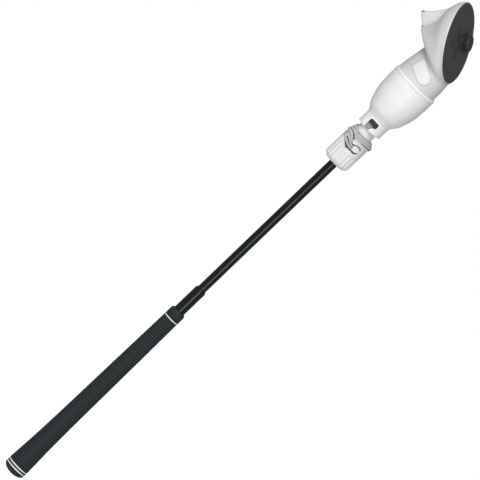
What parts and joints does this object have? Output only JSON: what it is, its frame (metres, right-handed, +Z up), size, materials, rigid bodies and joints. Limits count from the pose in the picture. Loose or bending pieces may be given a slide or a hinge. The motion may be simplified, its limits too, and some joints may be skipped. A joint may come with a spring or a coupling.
{
  "type": "golf swing trainer stick",
  "caption": "Short golf-gripped swing trainer stick with a stepped black shaft, a ribbed strap winder and a round-faced hand controller held in a cup at its head.",
  "frame": {"origin": "middle of the butt end, at the mouth of the vent hole", "axes": "+Z up the shaft from the butt to the head, +X the side that the round face looks to, -X the trigger side, -Y the side of the grip button"},
  "size_m": [0.0855, 0.0956, 0.7477],
  "materials": {
    "grip_rubber": "matt moulded rubber with a fine cross-hatch",
    "ring_white": "smooth white inlay",
    "shaft_black": "gloss black lacquer",
    "bush_nylon": "moulded nylon",
    "steel": "plain steel",
    "coupling_grey": "satin light grey plastic",
    "knob_white": "satin white plastic",
    "strap_fabric": "woven light grey strap",
    "clip_metal": "brushed clip",
    "lug_black": "fine matt black",
    "seal_rubber": "soft rubber",
    "shell_white": "fine satin white plastic",
    "body_white": "fine satin off-white plastic, a little greyer than the cup",
    "button_white": "satin-gloss white plastic",
    "face_black": "fine matt charcoal",
    "control_black": "soft-touch black",
    "chassis_grey": "glass-filled nylon",
    "board_green": "solder-mask green",
    "cell_wrap": "plain printed film, no text",
    "led_amber": "flexible circuit film"
  },
  "bodies": {
    "stick": {"butt_cap": "grip_rubber", "butt_ring_lower": "ring_white", "butt_ring_upper": "ring_white", "grip_sleeve": "grip_rubber", "mouth_ring": "ring_white", "butt_tube": "shaft_black", "inner_bush": "bush_nylon", "reducer_bush": "shaft_black", "joint_pin": "steel", "thin_shaft": "shaft_black", "neck_spindle": "knob_white", "drag_ring": "seal_rubber", "strap_clip": "clip_metal", "strap_lug": "lug_black", "cup": "shell_white", "cup_liner": "seal_rubber", "rim_ring": "shell_white", "handle_shell": "body_white", "battery_sleeve": "bush_nylon", "battery": "cell_wrap", "battery_spring": "steel", "battery_plate": "steel", "body_shell": "body_white", "face_rim": "body_white", "face_plate": "face_black", "chassis": "chassis_grey", "main_board": "board_green", "face_screws": "steel", "switch_domes": "steel", "haptic_motor": "steel", "led_strip": "led_amber", "trigger_pin": "steel", "trigger_spring": "steel", "grip_button_pin": "steel", "grip_button_spring": "steel", "stick_housing": "bush_nylon"},
    "winder": {"ribbed_knob": "knob_white", "strap_guard": "coupling_grey", "wrist_strap": "strap_fabric"},
    "trigger": {"trigger": "body_white"},
    "grip_button": {"grip_button": "button_white"},
    "stick_yoke": {"stick_yoke": "steel"},
    "thumbstick": {"thumbstick": "control_black"},
    "upper_button": {"upper_button": "control_black"},
    "lower_button": {"lower_button": "control_black"},
    "menu_button": {"menu_button": "control_black"}
  },
  "joints": [
    {"name": "winder_turn", "type": "hinge", "parent": "stick", "child": "winder", "pos_m": [0, 0, 0.53], "axis": [0, 0, 1], "range_deg": [-90, 90]},
    {"name": "trigger_pull", "type": "hinge", "parent": "stick", "child": "trigger", "pos_m": [-0.0225, 0, 0.731], "axis": [0, -1, 0], "range_deg": [0, 14], "stiffness_Nm_per_rad": 0.3, "springref_deg": -8.59},
    {"name": "grip_squeeze", "type": "hinge", "parent": "stick", "child": "grip_button", "pos_m": [-0.0066, -0.0184, 0.6618], "axis": [0.2351, 0, 0.972], "range_deg": [0, 5], "stiffness_Nm_per_rad": 0.3, "springref_deg": -5.73},
    {"name": "stick_tilt_side", "type": "hinge", "parent": "stick", "child": "stick_yoke", "pos_m": [-0.00734, 0.018, 0.70733], "axis": [0, 1, 0], "range_deg": [-15, 15], "stiffness_Nm_per_rad": 0.05},
    {"name": "stick_tilt_up", "type": "hinge", "parent": "stick_yoke", "child": "thumbstick", "pos_m": [-0.00734, 0.018, 0.70733], "axis": [0.5329, 0, -0.8462], "range_deg": [-15, 15], "stiffness_Nm_per_rad": 0.05},
    {"name": "upper_button_press", "type": "slide", "parent": "stick", "child": "upper_button", "axis": [-0.8462, 0, -0.5329], "range_m": [0, 0.0007], "stiffness_N_per_m": 900, "springref_m": -0.0004},
    {"name": "lower_button_press", "type": "slide", "parent": "stick", "child": "lower_button", "axis": [-0.8462, 0, -0.5329], "range_m": [0, 0.0007], "stiffness_N_per_m": 900, "springref_m": -0.0004},
    {"name": "menu_button_press", "type": "slide", "parent": "stick", "child": "menu_button", "axis": [-0.8462, 0, -0.5329], "range_m": [0, 0.0007], "stiffness_N_per_m": 900, "springref_m": -0.0004}
  ]
}
